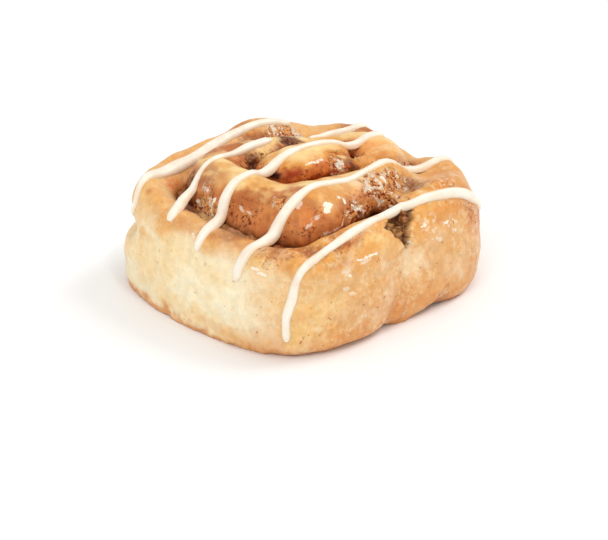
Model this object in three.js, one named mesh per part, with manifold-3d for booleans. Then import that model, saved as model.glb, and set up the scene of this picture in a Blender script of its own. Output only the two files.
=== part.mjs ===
// A square iced cinnamon roll: one strip of dough rolled round its cinnamon filling, with icing lines.
// Millimetres, +Z up, standing on z = 0. The corner at +X -Y is the one nearest in the picture.
import * as THREE from "three";
import Module from "manifold-3d";

const HALF_SIDE = 42.6;
const CORNER_POWER = 4.2;
const FOOT_HEIGHT = 2.2;
const FOOT_PLACE = 0.13;
const BELLY = 0.9;
const BELLY_HEIGHT = 11;
const SEAL_HALF_WIDTH = 1.6;
const SEAL_DEPTH = 0.8;
const CLEARANCE = 0.3;
const FILLING_FOOT = 1.0;
const FILLING_STANDS_UP = 0.9;

// Places along the strip are told in eighths of a turn, clockwise from above, starting at +X.
const TURN = 8;
const TAIL = 0.1;
const STRIP_END = 3 * TURN;
const FILLING_END = 2 * TURN;
const SPINE_TIP = 19;

// The line of the filling: eighth, x, y, height of the groove over it, width of the slot
const FILLING_PATH = [
  [0, 41, 1.5, 23.5, 0.8],
  [0.25, 35, 4.2, 27.5, 1.6],
  [0.5, 29.0, 3.2, 28.5, 2.4],
  [0.75, 29, -6.5, 28, 1.8],
  [1, 30, -18, 27, 1.8],
  [1.4, 24.5, -27, 25.5, 1.6],
  [2, 1, -33.0, 28, 1.8],
  [3, -23.5, -25, 26, 2.4],
  [4, -25, 0, 29, 1.8],
  [5, -20, 22, 27, 1.8],
  [6, 0, 34, 29, 1.8],
  [6.9, 17, 29, 29, 1.8],
  [7.3, 17, 23.5, 30, 1.8],
  [8, 9.5, 9, 32, 1.8],
  [9, 7.5, -7, 32, 1.8],
  [10, 0, -13.5, 32, 1.8],
  [11, -9.5, -10.5, 32, 2.4],
  [12, -9, 2, 33, 1.8],
  [13, -7.5, 14, 31, 1.8],
  [14, 1, 18, 32, 1.8],
  [15, 7.5, 13.5, 32, 2.4],
  [16, 4, 8, 38, 1.8],
];

// The crest of the strip: eighth, height, share of the way from the outer to the inner face
const CREST = [
  [0, 27, 0.5],
  [0.25, 30, 0.5],
  [0.5, 32.5, 0.5],
  [1, 32, 0.7],
  [1.5, 28.4, 0.6],
  [2, 29.4, 0.72],
  [2.6, 30.4, 0.6],
  [3, 31.6, 0.42],
  [3.6, 34, 0.5],
  [4.3, 36.7, 0.5],
  [4.6, 35.2, 0.5],
  [5, 31, 0.5],
  [5.5, 33.3, 0.42],
  [6, 30.6, 0.5],
  [6.3, 29.4, 0.5],
  [6.6, 33, 0.36],
  [7, 33, 0.42],
  [7.5, 34.5, 0.72],
  [8, 37.3, 0.58],
  [8.5, 37.3, 0.54],
  [9, 38.8, 0.58],
  [9.5, 38.3, 0.58],
  [10, 40.2, 0.55],
  [10.7, 39.4, 0.5],
  [11.5, 39.4, 0.5],
  [12, 38.2, 0.6],
  [12.4, 36.8, 0.5],
  [13, 34.2, 0.45],
  [14, 38.3, 0.5],
  [15, 37.5, 0.5],
  [16, 38, 1],
];

// The outer wall beside each eighth of the first turn: degrees clockwise from +X, how far the whole wall
// draws in, how much more its shoulder does, shoulder height, how far the foot draws in
const WALL = [
  [0, 0.2, 1.4, 0.6, 19, 3.4],
  [0.25, 4, 1.2, 0.6, 19, 3.4],
  [0.5, 12, 0.8, 0.5, 19, 3.4],
  [1, 40, 2.0, 0.5, 17, 2.4],
  [2, 90, -1.4, 0.3, 18.5, 0.3],
  [3, 137, 0.2, 1.3, 20, 0.4],
  [4, 180, 0, 0.6, 21, 1.6],
  [5, 227, 0, 0.6, 19, 2.4],
  [6, 270, 0, 0.3, 19, 2.4],
  [7, 318, 0, 0.5, 20, 2.4],
  [7.5, 337, 0.6, 0.5, 20, 2.6],
  [8, 356, 1.3, 0.6, 19, 2.8],
];

// The ridge of the roll's middle, from the end of the filling to its far tip: share, x, y, height
const SPINE = [
  [0, 4, 8, 38],
  [0.35, 1, 2, 40.5],
  [0.8, -2, -4, 40.5],
  [1, -3.5, -6.5, 39],
];

// Rises and dips that the roll's own shape leaves out: x, y, reach along x and y, rise
const LUMPS = [
  [35.5, 20, 7, 11, 4],
  [42, 4, 4, 4, -8],
  [-29, -36, 6, 6, 1.8],
  [36, 38, 6, 6, -3.2],
  [-38, 0, 4, 6, -1.5],
  [27.5, 12, 5, 9, -4],
  [24, 24, 5, 5, -2],
  [18, 17.5, 6, 8, 3.6],
];

// Icing lines: x and half width at eight places from -Y to +Y, where the line starts and stops along Y, height
// of either end on the walls, how far it sags. The second line is broken off over a deep groove.
const ICING_PLACES = [-40, -31, -22, -12, 0, 12, 26, 40];
const SECOND_X = [-10.2, -12.6, -13.6, -14.6, -15.3, -15, -16.5, -12.5];
const SECOND_HALF = [1.9, 1.2, 0.65, 0.8, 1.1, 1, 1.2, 1.6];
const ICING_LINES = [
  {
    x: [-27, -29.7, -30.4, -30.6, -31.5, -31, -30.6, -30.6],
    half: [1.1, 1.7, 1.85, 1.8, 1.5, 1.1, 1.4, 1.4],
    from: -50, to: 25, ends: [21, 22], sag: 0.35,
  },
  { x: SECOND_X, half: SECOND_HALF, from: -50, to: 3.5, ends: [27, 25], sag: 0.35 },
  { x: SECOND_X, half: SECOND_HALF, from: 17, to: 50, ends: [27, 25], sag: 0.35 },
  {
    x: [3.4, 1.8, 2.1, -0.3, -0.8, 1, 2.2, 6],
    half: [1.6, 1.6, 1, 1.5, 0.9, 0.8, 0.9, 1],
    from: -50, to: 31, ends: [23, 22], sag: 1.2,
  },
  {
    x: [18.3, 18.6, 17.8, 17.8, 19.1, 18.4, 18, 21.5],
    half: [1.5, 1.6, 1.3, 1.05, 1, 1.1, 1.3, 1.6],
    from: -50, to: 50, ends: [19, 20], sag: 0.8,
  },
  {
    x: [33.8, 33.3, 34.5, 35.1, 34.3, 35.2, 36.8, 37],
    half: [1.3, 1.1, 1.2, 1.25, 1.25, 1.35, 1.4, 1.4],
    from: -50, to: 50, ends: [5, 19], sag: 0.2,
  },
];
const ICING_THICKNESS = 0.5;
const ICING_FULLNESS = 0.5;
const ICING_STEP = 2.4;

// How round the strip's top is over the first turn, the second one and the middle: less is steeper
const OUTER_ROUNDING = 0.56;
const INNER_ROUNDING = 0.42;
const CORE_ROUNDING = 0.3;
const TOP_STEPS = 7;

const wasm = await Module();
wasm.setup();

/** Value of a table at a place, smooth through its rows; column 1 is the first value. */
function along(table, place, column) {
  let i = 0;
  while (i < table.length - 2 && place > table[i + 1][0]) i += 1;
  const slope = (k) => {
    const a = table[Math.max(k - 1, 0)];
    const b = table[Math.min(k + 1, table.length - 1)];
    return (b[column] - a[column]) / (b[0] - a[0]);
  };
  const [from, to] = [table[i], table[i + 1]];
  const span = to[0] - from[0];
  const t = Math.min(Math.max((place - from[0]) / span, 0), 1);
  const a = (1 + 2 * t) * (1 - t) ** 2;
  const b = t * (1 - t) ** 2;
  const c = t * t * (3 - 2 * t);
  const d = t * t * (t - 1);
  return a * from[column] + b * span * slope(i) + c * to[column] + d * span * slope(i + 1);
}

function wallPoint(degrees, inset = 0) {
  const turn = THREE.MathUtils.degToRad(-degrees);
  const [c, s] = [Math.cos(turn), Math.sin(turn)];
  const power = CORNER_POWER;
  const reach = HALF_SIDE / (Math.abs(c) ** power + Math.abs(s) ** power) ** (1 / power) - inset;
  return [reach * c, reach * s];
}

function fillingPoint(place, shift = 0) {
  const at = (p) => [along(FILLING_PATH, p, 1), along(FILLING_PATH, p, 2)];
  const [x, y] = at(place);
  const [x0, y0] = at(Math.max(place - 0.02, 0));
  const [x1, y1] = at(Math.min(place + 0.02, FILLING_END));
  const length = Math.hypot(x1 - x0, y1 - y0);
  return [x + ((y0 - y1) / length) * shift, y + ((x1 - x0) / length) * shift];
}

/** Half of the slot's width; it closes at the inner end of the filling. */
function halfSlot(place) {
  const closing = Math.min(Math.max((FILLING_END - place) / 0.3, 0), 1);
  return (along(FILLING_PATH, place, 4) / 2) * Math.sqrt(closing);
}

function spinePoint(place) {
  const out = (place - FILLING_END) / (SPINE_TIP - FILLING_END);
  const back = (STRIP_END - place) / (STRIP_END - SPINE_TIP);
  return [1, 2, 3].map((column) => along(SPINE, place < SPINE_TIP ? out : back, column));
}

/** Where the strip's outer face passes; the wall's own point is at its shoulder. */
function outerPoint(place) {
  if (place > TURN) return fillingPoint(place - TURN, -halfSlot(place - TURN));
  return wallPoint(along(WALL, place, 1), along(WALL, place, 2) + along(WALL, place, 3));
}

function innerPoint(place) {
  if (place >= FILLING_END) return spinePoint(place);
  return fillingPoint(place, halfSlot(place));
}

function lumpRise(x, y) {
  return LUMPS.reduce((sum, [cx, cy, rx, ry, rise]) => {
    return sum + rise * Math.exp(-(((x - cx) / rx) ** 2) - ((y - cy) / ry) ** 2);
  }, 0);
}

/** Points over the top of the strip at a place, from its outer to its inner face. */
function topPoints(place) {
  const [ox, oy] = outerPoint(place);
  const [ix, iy, ridge] = innerPoint(place);
  const onSpine = place >= FILLING_END;
  const crest = onSpine ? ridge : along(CREST, place, 1);
  const middle = onSpine ? 1 : along(CREST, place, 2);
  const outerEdge = place <= TURN ? along(WALL, place, 4) : along(FILLING_PATH, place - TURN, 3);
  const innerEdge = onSpine ? crest : along(FILLING_PATH, place, 3);
  const steep = onSpine ? CORE_ROUNDING : place > TURN ? INNER_ROUNDING : OUTER_ROUNDING;
  const points = [];
  for (let k = -TOP_STEPS; k <= TOP_STEPS; k += 1) {
    const side = Math.sin((Math.abs(k) / TOP_STEPS) * (Math.PI / 2));
    const share = k < 0 ? middle * (1 - side) : middle + (1 - middle) * side;
    const edge = k < 0 ? outerEdge : innerEdge;
    const x = ox + (ix - ox) * share;
    const y = oy + (iy - oy) * share;
    const round = (1 - side * side) ** (k < 0 ? steep : Math.min(steep + 0.1, OUTER_ROUNDING));
    const rise = onSpine ? 0 : lumpRise(x, y);
    points.push([x, y, edge + (crest - edge + rise) * round]);
  }
  return points;
}

/** Points up the outer face; further inside the roll it is plain and repeats its top point. */
function wallPoints(place, topEdge) {
  if (place > TURN + 0.5) return [topEdge, topEdge, topEdge];
  const direction = along(WALL, place, 1);
  const inset = along(WALL, place, 2);
  const out = (more, z) => (place > TURN ? [...outerPoint(place), z] : [...wallPoint(direction, inset + more), z]);
  const foot = along(WALL, place, 5) * 0.2;
  return [out(foot, FOOT_HEIGHT), out(-BELLY * 0.7, BELLY_HEIGHT / 2 + 1), out(-BELLY, BELLY_HEIGHT)];
}

/** One closed ring round the strip: outer foot, wall, top, inner foot. */
function stripRing(place) {
  const top = topPoints(place);
  const [ox, oy] = outerPoint(place > TURN ? Math.max(place, TURN + FOOT_PLACE) : place);
  const [ix, iy] = innerPoint(Math.max(place, FOOT_PLACE));
  const inset = place > TURN ? 0 : Math.min(along(WALL, place, 5) / Math.hypot(ix - ox, iy - oy), 0.4);
  const outerFoot = [ox + (ix - ox) * inset, oy + (iy - oy) * inset, 0];
  return [outerFoot, ...wallPoints(place, top[0]), ...top, [ix, iy, 0]];
}

function stripStations() {
  const places = [];
  for (let p = TAIL; p < FILLING_END - 1e-6; p += p % TURN < 1.35 ? 0.1 : 0.2) places.push(p);
  const legs = 12;
  for (let k = 0; k < legs; k += 1) places.push(FILLING_END + ((SPINE_TIP - FILLING_END) * k) / legs);
  for (let k = 0; k <= legs; k += 1) places.push(SPINE_TIP + ((STRIP_END - SPINE_TIP) * k) / legs);
  return places;
}

/** A closed solid through rings of equally many points; opened(i) tells where the last side is left out. */
function skinned(rings, opened) {
  const points = rings.flat();
  const sides = rings[0].length;
  const faces = [];
  for (let i = 0; i < rings.length - 1; i += 1) {
    for (let k = 0; k < sides; k += 1) {
      if (opened && opened(i, k)) continue;
      const [a, b] = [i * sides + k, i * sides + ((k + 1) % sides)];
      const [c, d] = [a + sides, b + sides];
      faces.push(a, b, c, b, d, c);
    }
  }
  const cap = (ring, flip) => {
    const first = ring * sides;
    const middle = points.length;
    const sum = [0, 1, 2].map((k) => rings[ring].reduce((total, p) => total + p[k], 0) / sides);
    points.push(sum);
    for (let k = 0; k < sides; k += 1) {
      const [a, b] = [first + k, first + ((k + 1) % sides)];
      faces.push(middle, flip ? a : b, flip ? b : a);
    }
  };
  cap(0, false);
  if (!opened) cap(rings.length - 1, true);
  return welded(points, faces);
}

/** A geometry in which equal points are one vertex and faces without area are gone. */
function welded(points, faces) {
  const known = new Map();
  const position = [];
  const vertex = points.map((p) => {
    const key = p.map((v) => Math.round(v * 1e4)).join();
    if (!known.has(key)) {
      known.set(key, position.length / 3);
      position.push(...p);
    }
    return known.get(key);
  });
  const index = [];
  for (let i = 0; i < faces.length; i += 3) {
    const [a, b, c] = [0, 1, 2].map((k) => vertex[faces[i + k]]);
    if (a !== b && b !== c && c !== a) index.push(a, b, c);
  }
  const geometry = new THREE.BufferGeometry();
  geometry.setAttribute("position", new THREE.Float32BufferAttribute(position, 3));
  geometry.setIndex(index);
  return geometry;
}

function doughGeometry() {
  const places = stripStations();
  const rings = places.map(stripRing);
  const innerSide = rings[0].length - 2;
  return skinned(rings, (i, k) => k === innerSide && places[i] > FILLING_END - 1e-6);
}

function fillingGeometry() {
  const rings = [];
  for (let p = 0.3; p < FILLING_END - 0.35; p += p % TURN < 1.35 ? 0.1 : 0.2) {
    const half = halfSlot(p) - CLEARANCE;
    const top = along(FILLING_PATH, p, 3);
    const at = (shift, z) => [...fillingPoint(p, shift), z];
    rings.push([
      at(half, FILLING_FOOT),
      at(half, top - 0.2),
      at(0, top + FILLING_STANDS_UP),
      at(-half, top - 0.2),
      at(-half, FILLING_FOOT),
    ]);
  }
  return skinned(rings);
}

/** Value at a distance along Y of a list that is told at the icing's places. */
function alongIcing(values, y) {
  let i = 0;
  while (i < ICING_PLACES.length - 2 && y > ICING_PLACES[i + 1]) i += 1;
  const share = (y - ICING_PLACES[i]) / (ICING_PLACES[i + 1] - ICING_PLACES[i]);
  return values[i] + (values[i + 1] - values[i]) * Math.min(Math.max(share, 0), 1);
}

/** The points where an icing line lies: up one wall, over the top and down the other wall. */
function icingPath(line, target) {
  const pivotY = 26;
  const pivotZ = 12;
  const rays = [];
  for (let z = 3; z < pivotZ; z += 1.5) rays.push([-pivotY, z, 0]);
  for (let a = 0; a < 90; a += 3) rays.push([-pivotY, pivotZ, a]);
  for (let y = -pivotY; y < pivotY; y += 1) rays.push([y, pivotZ, 90]);
  for (let a = 90; a < 180; a += 3) rays.push([pivotY, pivotZ, a]);
  for (let z = pivotZ; z > 3; z -= 1.5) rays.push([pivotY, z, 180]);
  const caster = new THREE.Raycaster();
  const hits = [];
  for (const [y, z, degrees] of rays) {
    const turn = THREE.MathUtils.degToRad(degrees);
    const into = new THREE.Vector3(0, Math.cos(turn), -Math.sin(turn));
    const cast = (x) => {
      caster.set(new THREE.Vector3(x, y, z).addScaledVector(into, -70), into);
      return caster.intersectObject(target)[0];
    };
    const first = cast(line.x[3]);
    const hit = cast(alongIcing(line.x, first ? first.point.y : y));
    if (!hit || hit.point.y < line.from || hit.point.y > line.to) continue;
    if (hit.point.z >= line.ends[hit.point.y < 0 ? 0 : 1]) hits.push(hit.point);
  }
  return evenly(bridged(hits, line.sag), ICING_STEP);
}

/** The same points with the deep places lifted, as thick icing bridges them. */
function bridged(points, sag) {
  const lifted = points.map((p) => p.clone());
  for (let round = 0; round < 30; round += 1) {
    for (let i = 2; i < lifted.length - 2; i += 1) {
      if (Math.abs(lifted[i].y) > 38) continue;
      const between = (lifted[i - 2].z + lifted[i + 2].z) / 2 - sag;
      lifted[i].z = Math.max(lifted[i].z, between);
    }
  }
  return lifted;
}

/** Points at even steps along a line of points. */
function evenly(points, step) {
  const curve = new THREE.CurvePath();
  for (let i = 1; i < points.length; i += 1) curve.add(new THREE.LineCurve3(points[i - 1], points[i]));
  return curve.getSpacedPoints(Math.round(curve.getLength() / step));
}

/** A flat bead of icing along a line's path; grow makes it larger all round. */
function icingGeometry({ path, half }, grow = 0) {
  const sides = 6;
  const rings = path.map((p, i) => {
    const before = path[Math.max(i - 1, 0)];
    const after = path[Math.min(i + 1, path.length - 1)];
    const run = new THREE.Vector3().subVectors(after, before).setX(0).normalize();
    const up = new THREE.Vector3(0, -run.z, run.y);
    const size = i === 0 || i === path.length - 1 ? 0.55 : 1;
    const width = alongIcing(half, p.y);
    const thick = ICING_THICKNESS + ICING_FULLNESS * width;
    const ring = [];
    for (let k = 0; k < sides; k += 1) {
      const turn = (2 * Math.PI * (k + 0.5)) / sides;
      const aside = Math.cos(turn) * (width * size + grow);
      const rise = Math.sin(turn) * (thick * size + grow);
      ring.push([p.x - aside, p.y + up.y * rise, p.z + up.z * rise]);
    }
    return ring;
  });
  return skinned(rings);
}

function toManifold(geometry) {
  const vertProperties = geometry.attributes.position.array;
  const triVerts = new Uint32Array(geometry.index.array);
  return new wasm.Manifold(new wasm.Mesh({ numProp: 3, vertProperties, triVerts }));
}

function toGeometry(solid) {
  const mesh = solid.getMesh();
  const geometry = new THREE.BufferGeometry();
  geometry.setAttribute("position", new THREE.Float32BufferAttribute(mesh.vertProperties, 3));
  geometry.setIndex([...mesh.triVerts]);
  return geometry;
}

function named(name, geometry, color, roughness) {
  const mesh = new THREE.Mesh(geometry, new THREE.MeshStandardMaterial({ color, roughness, metalness: 0 }));
  mesh.name = name;
  return mesh;
}

/** The dough that closes the slot where the strip's tail is pressed on to the roll's side. */
function sealGeometry() {
  const rings = [0.03, 0.08, 0.14, 0.2].map((p) => {
    const top = along(FILLING_PATH, p, 3) - SEAL_DEPTH;
    const at = (shift) => [...fillingPoint(p, shift), top];
    const foot = (shift) => [...fillingPoint(Math.max(p, FOOT_PLACE), shift), 0];
    const side = SEAL_HALF_WIDTH;
    return [foot(side), at(side), at(-side), foot(-side)];
  });
  return skinned(rings);
}

const bare = doughGeometry();
const target = new THREE.Mesh(bare, new THREE.MeshStandardMaterial({ side: THREE.DoubleSide }));
target.updateMatrixWorld();
const lines = ICING_LINES.map((line) => ({ path: icingPath(line, target), half: line.half }));
let dough = toManifold(bare).add(toManifold(sealGeometry()));
let filling = toManifold(fillingGeometry());
for (const line of lines) {
  dough = dough.add(toManifold(icingGeometry(line)));
  filling = filling.subtract(toManifold(icingGeometry(line, CLEARANCE + 0.1)));
}

const group = new THREE.Group();
group.add(named("dough", toGeometry(dough), 0xe8bf86, 0.6));
group.add(named("cinnamon_filling", toGeometry(filling), 0x5a2d14, 0.5));
const middle = new THREE.Box3().setFromObject(group).getCenter(new THREE.Vector3());
for (const mesh of group.children) mesh.geometry.translate(-middle.x, -middle.y, 0);
export default group;
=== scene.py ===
"""Looks of a square iced cinnamon roll. Lengths in the tables are millimetres in the part's own frame."""

import math

import bpy
import numpy as np
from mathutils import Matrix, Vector, noise
from mathutils.bvhtree import BVHTree


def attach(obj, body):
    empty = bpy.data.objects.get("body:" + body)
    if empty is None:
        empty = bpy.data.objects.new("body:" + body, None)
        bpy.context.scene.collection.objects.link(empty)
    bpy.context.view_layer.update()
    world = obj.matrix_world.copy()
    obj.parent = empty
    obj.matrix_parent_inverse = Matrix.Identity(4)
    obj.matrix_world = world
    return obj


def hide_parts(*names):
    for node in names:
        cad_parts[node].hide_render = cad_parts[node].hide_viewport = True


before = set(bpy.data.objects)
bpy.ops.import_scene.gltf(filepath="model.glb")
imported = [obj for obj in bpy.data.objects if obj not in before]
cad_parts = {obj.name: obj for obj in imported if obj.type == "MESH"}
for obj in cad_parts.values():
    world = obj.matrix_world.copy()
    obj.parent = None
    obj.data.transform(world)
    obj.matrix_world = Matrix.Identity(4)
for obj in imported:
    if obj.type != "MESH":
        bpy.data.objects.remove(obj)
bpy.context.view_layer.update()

MM = 0.001

# Camera, fitted to the picture: bearing and height of the view, in degrees, distance in millimetres, and the
# pixel where the middle of the roll's foot stands
VIEW_BEARING = 46.5
VIEW_HEIGHT = 27.0
VIEW_DISTANCE = 497.0
LENS = 100.0
SENSOR = 36.0
IMAGE_WIDTH = 608
IMAGE_HEIGHT = 540
CENTRE_PIXEL = (301.5, 276.5)

# The roll's tables are told from a point this far from the middle of its box
PLAN_SHIFT = (0.409, 0.70)

# Main sizes of the roll
HALF_SIDE = 42.6
CORNER_POWER = 4.2
BELLY = 0.9
BELLY_HEIGHT = 11
TURN = 8
# Millimetres of strip in an eighth of a turn, for the streaks along it
EIGHTH = 15
TAIL = 0.1
STRIP_END = 3 * TURN
FILLING_END = 2 * TURN
SPINE_TIP = 19
CORE_START = TURN + 6
FOOT_HEIGHT = 3.5

# How round the strip's top is over the first turn, the second one and the middle: less is steeper
OUTER_ROUNDING = 0.56
INNER_ROUNDING = 0.42
CORE_ROUNDING = 0.3

# The plain block inside, which leaves only the upper part of the grooves open
HEART_INSET = 5
HEART_TOP = 20

# Fineness of the rolled strip's first mesh, and of the skin that is drawn round it
FIRST_STATIONS = 500
SECOND_STATIONS = 280
SPINE_STATIONS = 50
WALL_STEPS = 16
TOP_STEPS = 22
VOXEL = 0.5

# The line of the filling: eighth of a turn, x, y, height of the groove over it, width of the slot
FILLING_PATH = np.array([
    [0, 41, 1.5, 23.5, 0.8], [0.25, 35, 4.2, 27.5, 1.6], [0.5, 29.0, 3.2, 28.5, 2.4],
    [0.75, 29, -6.5, 28, 1.8], [1, 30, -18, 27, 1.8], [1.4, 24.5, -27, 25.5, 1.6],
    [2, 1, -33.0, 28, 1.8], [3, -23.5, -25, 26, 2.4], [4, -25, 0, 29, 1.8],
    [5, -20, 22, 27, 1.8], [6, 0, 34, 29, 1.8], [6.9, 17, 29, 29, 1.8],
    [7.3, 17, 23.5, 30, 1.8], [8, 9.5, 9, 32, 1.8], [9, 7.5, -7, 32, 1.8],
    [10, 0, -13.5, 32, 1.8], [11, -9.5, -10.5, 32, 2.4], [12, -9, 2, 33, 1.8],
    [13, -7.5, 14, 31, 1.8], [14, 1, 18, 32, 1.8], [15, 7.5, 13.5, 32, 2.4],
    [16, 4, 8, 38, 1.8],
])

# The crest of the strip: eighth of a turn, height, share of the way from the outer to the inner face
CREST = np.array([
    [0, 27, 0.5], [0.25, 30, 0.5], [0.5, 32.5, 0.5], [1, 32, 0.7],
    [1.5, 28.4, 0.6], [2, 29.4, 0.72], [2.6, 30.4, 0.6], [3, 31.6, 0.42],
    [3.6, 34, 0.5], [4.3, 36.7, 0.5], [4.6, 35.2, 0.5], [5, 31, 0.5],
    [5.5, 33.3, 0.42], [6, 30.6, 0.5], [6.3, 29.4, 0.5], [6.6, 33, 0.36],
    [7, 33, 0.42], [7.5, 34.5, 0.72], [8, 37.3, 0.58], [8.5, 37.3, 0.54],
    [9, 38.8, 0.58], [9.5, 38.3, 0.58], [10, 40.2, 0.55], [10.7, 39.4, 0.5],
    [11.5, 39.4, 0.5], [12, 38.2, 0.6], [12.4, 36.8, 0.5], [13, 34.2, 0.45],
    [14, 38.3, 0.5], [15, 37.5, 0.5], [16, 38, 1],
])

# The outer wall beside each eighth of the first turn: degrees clockwise from +X, how far the whole wall
# draws in, how much more its shoulder does, shoulder height, and how far the foot draws in
WALL = np.array([
    [0, 0.2, 1.4, 0.6, 19, 3.4],
    [0.25, 4, 1.2, 0.6, 19, 3.4],
    [0.5, 12, 0.8, 0.5, 19, 3.4],
    [1, 40, 2.0, 0.5, 17, 3.4],
    [2, 90, -1.4, 0.3, 18.5, -0.4],
    [3, 137, 0.2, 1.3, 20, 0.4],
    [4, 180, 0, 0.6, 21, 1.6],
    [5, 227, 0, 0.6, 19, 2.4],
    [6, 270, 0, 0.3, 19, 2.4],
    [7, 318, 0, 0.5, 20, 2.4],
    [7.5, 337, 0.6, 0.5, 20, 2.6],
    [8, 356, 1.3, 0.6, 19, 2.8],
])

# The ridge of the roll's middle, from the end of the filling to its far tip: share, x, y, height
SPINE = np.array([
    [0, 4, 8, 38],
    [0.35, 1, 2, 40.5],
    [0.8, -2, -4, 40.5],
    [1, -3.5, -6.5, 39],
])

# Rises and dips that the roll's own shape leaves out: x, y, reach along x and y, rise
LUMPS = [
    [35.5, 20, 7, 11, 4],
    [42, 4, 4, 4, -8],
    [-29, -36, 6, 6, 1.8],
    [36, 38, 6, 6, -3.2],
    [-38, 0, 4, 6, -1.5],
    [27.5, 12, 5, 9, -4],
    [24, 24, 5, 5, -2],
    [18, 17.5, 6, 8, 3.6],
    [33, -27.5, 5, 5, -2.1],
]

# Round lumps that are fused into the roll: x, y, z of the middle, three half sizes
BULGES = [
    (6.2, 9.0, 34.0, 4.2, 5.2, 3.6),
    (2.5, 13.5, 31.5, 4.0, 4.0, 3.0),
    (36.2, 2.4, 25.0, 3.4, 3.6, 4.4),
    (34.0, 4.6, 26.2, 3.6, 3.8, 4.0),
    (10.5, 15.6, 32.4, 5.2, 4.6, 4.2),
    (38.6, 2.8, 0.9, 1.5, 6.0, 1.6),
]

# The wall where the tail is stuck on, from and to degrees clockwise from +X
SEAL_FROM = -5
SEAL_TO = 9
SEAL_COLUMNS = 15
SEAL_ROWS = 12
SEAL_THICKNESS = 8
SEAL_INSET = 1.9
SEAL_TOP = 24.5
SEAL_FOOT = 3.4

# Points in front of this x, and this near to the middle, belong to the stuck tail
SEAL_X = 37
SEAL_Y = 9

# A soft valley down that wall from the notch: height, y
VALLEY = np.array([
    [0, -7], [4.4, -5.5], [13, -1], [18.8, 2.2], [26, 1.5],
])
VALLEY_WIDTH = 2.6
VALLEY_DEPTH = 1.1

# The torn notch over it, where the filling runs out of the roll: height, y, half width
NOTCH = np.array([
    [23.1, 1.6, 0.3], [24.8, 1.7, 1.4], [26.5, 1.75, 2.9],
    [28.0, 1.8, 4.2], [30.0, 2.2, 5.6], [32.1, 2.2, 6.4],
])
NOTCH_DEPTH = 1.6

# Hollows in the walls: x, y, z, reach sideways, reach up and down, depth, which is below 0 for a swelling
HOLLOWS = [
    (-36, -36, 18.5, 7.5, 3.6, 7),
    (42, -5.5, 1, 4, 4, 1.6),
    (41, -26, 0, 4, 2.5, 1.0),
    (41.5, 14, 1, 4, 3, 1.4),
    (40, 36, 24, 8, 5, -1.4),
]

# Icing lines: x and half width at eight places from -Y to +Y, where the line starts and stops along Y,
# height of either end on the walls, and how far it sags. The second one is broken off over a deep groove
ICING_PLACES = (-40, -31, -22, -12, 0, 12, 26, 40)
ICING_A = (
    (-27, -29.7, -30.4, -30.6, -31.5, -31, -30.6, -30.6),
    (1.1, 1.9, 2, 1.9, 1.7, 1.4, 1.5, 1.4),
)
ICING_B = (
    (-10.2, -12.6, -13.6, -14.6, -15.3, -15, -16.5, -12.5),
    (1.9, 1.4, 0.85, 1.2, 1.7, 1.1, 1.2, 1.6),
)
ICING_C = (
    (3.4, 1.8, 2.1, -0.3, -0.8, 1, 2.2, 6),
    (1.6, 1.8, 1.2, 1.7, 1.2, 1.2, 1.7, 1.6),
)
ICING_D = (
    (18.3, 19.4, 19.2, 18.2, 19.1, 18.4, 18, 21.5),
    (1.5, 1.8, 1.6, 1.3, 1.1, 1.4, 1.6, 1.7),
)
ICING_E = (
    (32.9, 34, 35.6, 35.5, 34.5, 35.2, 36.8, 37),
    (1.3, 1.1, 1.15, 1.2, 1.3, 1.5, 1.6, 1.5),
)
ICING_LINES = [
    (*ICING_A, -50, 25, 21, 22, 0.35),
    (*ICING_B, -50, 3.5, 27, 25, 0.35),
    (*ICING_B, 17, 50, 27, 25, 0.35),
    (*ICING_C, -50, 31, 23, 22, 1.2),
    (*ICING_D, -50, 50, 19, 20, 0.8),
    (*ICING_E, -50, 50, 5, 22, 0.2),
]
ICING_THICKNESS = 0.35
ICING_FULLNESS = 0.45
ICING_STEP = 0.6
ICING_ACROSS = 13
ICING_DRAPE = 0.7
ICING_OVER = 2.2
ICING_UNDER = 0.35

# The rays that find the icing's route turn round these two points, y and height, of the roll's inside
PIVOT = 26
PIVOT_HEIGHT = 12

# Dark filling at the bottom of the grooves
FILLING_STATIONS = 700
FILLING_HALF_WIDTH = 1.7
FILLING_RISE = 1.8
FILLING_DEPTH = 4
FILLING_SINK = 3

# Colours as they look in the picture, 0 to 255. The light makes them LIGHT times as bright, and the gloss
# adds GLOSS
LIGHT = 1.08
GLOSS = 0.014
CREAM = (255, 244, 212)
MOTTLE = (255, 234, 190)
BUTTER = (252, 216, 152)
PALE = (252, 226, 188)
AMBER = (243, 198, 134)
GOLD = (236, 170, 88)
DEEP_GOLD = (230, 156, 70)
AMBER_LOW = (230, 160, 92)
TOAST = (218, 146, 86)
BROWNED = (178, 106, 58)
TAN = (231, 171, 106)
PINK_TAN = (240, 198, 158)
ORANGE = (228, 144, 80)
CINNAMON = (194, 118, 70)
SYRUP = (222, 132, 70)
RUST = (168, 66, 18)
DARK_RUST = (118, 52, 20)
APRICOT = (250, 178, 108)
DULL_BROWN = (146, 92, 60)
UMBER = (138, 76, 42)
# Painted shade, black brown, for holes, the gaps between crumbs and the bottoms of the grooves
SHADE_BLACK_BROWN = (66, 28, 12)
GREY_BROWN = (190, 130, 88)
SPECK = (128, 56, 24)
DARK_CRUMB = (104, 54, 28)
# Near-white of thin glaze, and of the painted highlights along the glints and hazes
GLAZE_AND_HIGHLIGHT = (255, 242, 220)
# Painted highlight colour of the thin curved lines on the syrupy crumb
SYRUP_HIGHLIGHT = (255, 238, 214)
ICING = (255, 246, 230)
ICING_SHADE = (250, 232, 210)
ICING_EDGE = (248, 218, 182)

# Tints that colours are multiplied by
BROWNER = (0.97, 0.84, 0.64, 1)
CLOUDY = (0.97, 0.88, 0.74, 1)
FRECKLED = (0.96, 0.83, 0.66, 1)
WARMER = (0.96, 0.84, 0.66, 1)
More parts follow.
